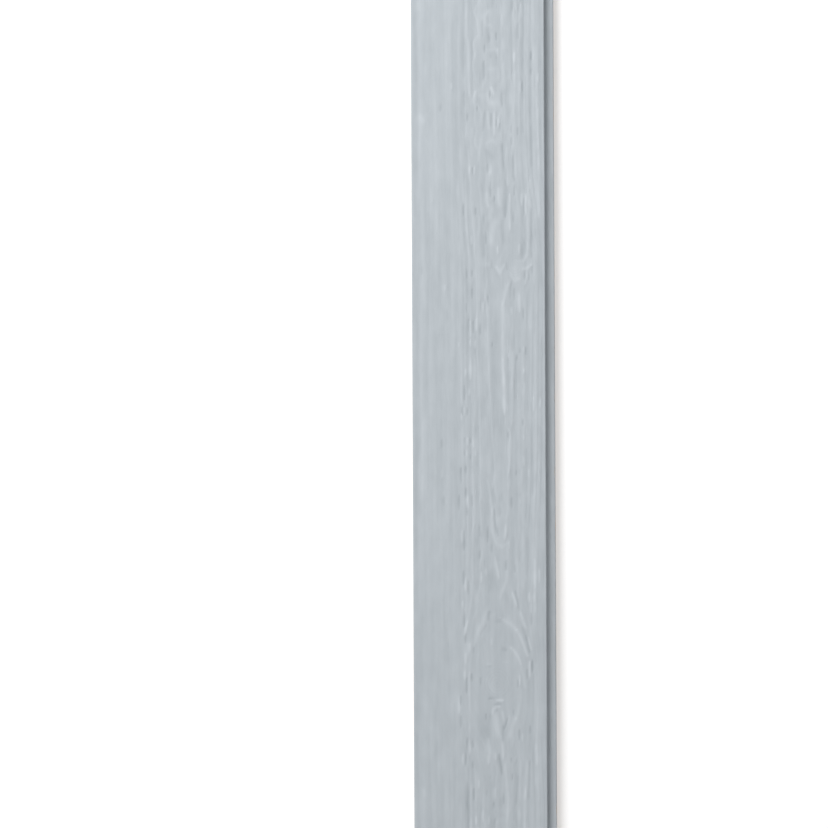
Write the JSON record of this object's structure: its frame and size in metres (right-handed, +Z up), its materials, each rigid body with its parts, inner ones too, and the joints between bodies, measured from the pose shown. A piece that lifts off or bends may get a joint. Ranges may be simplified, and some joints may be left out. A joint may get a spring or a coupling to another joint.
{
  "type": "tongue and groove board",
  "caption": "Long flat softwood board with a tongue along one edge, a groove along the other and a brushed, painted face, for cladding walls and ceilings.",
  "frame": {"origin": "middle of the back, at the centre of the overall width and length", "axes": "+Y along the board, +X across it from the groove edge to the tongue edge, +Z up out of the painted face"},
  "size_m": [0.145, 2, 0.019],
  "materials": {
    "painted_wood": "brushed softwood under a thin matt light blue-grey paint"
  },
  "bodies": {
    "root": {"board": "painted_wood"}
  },
  "joints": []
}
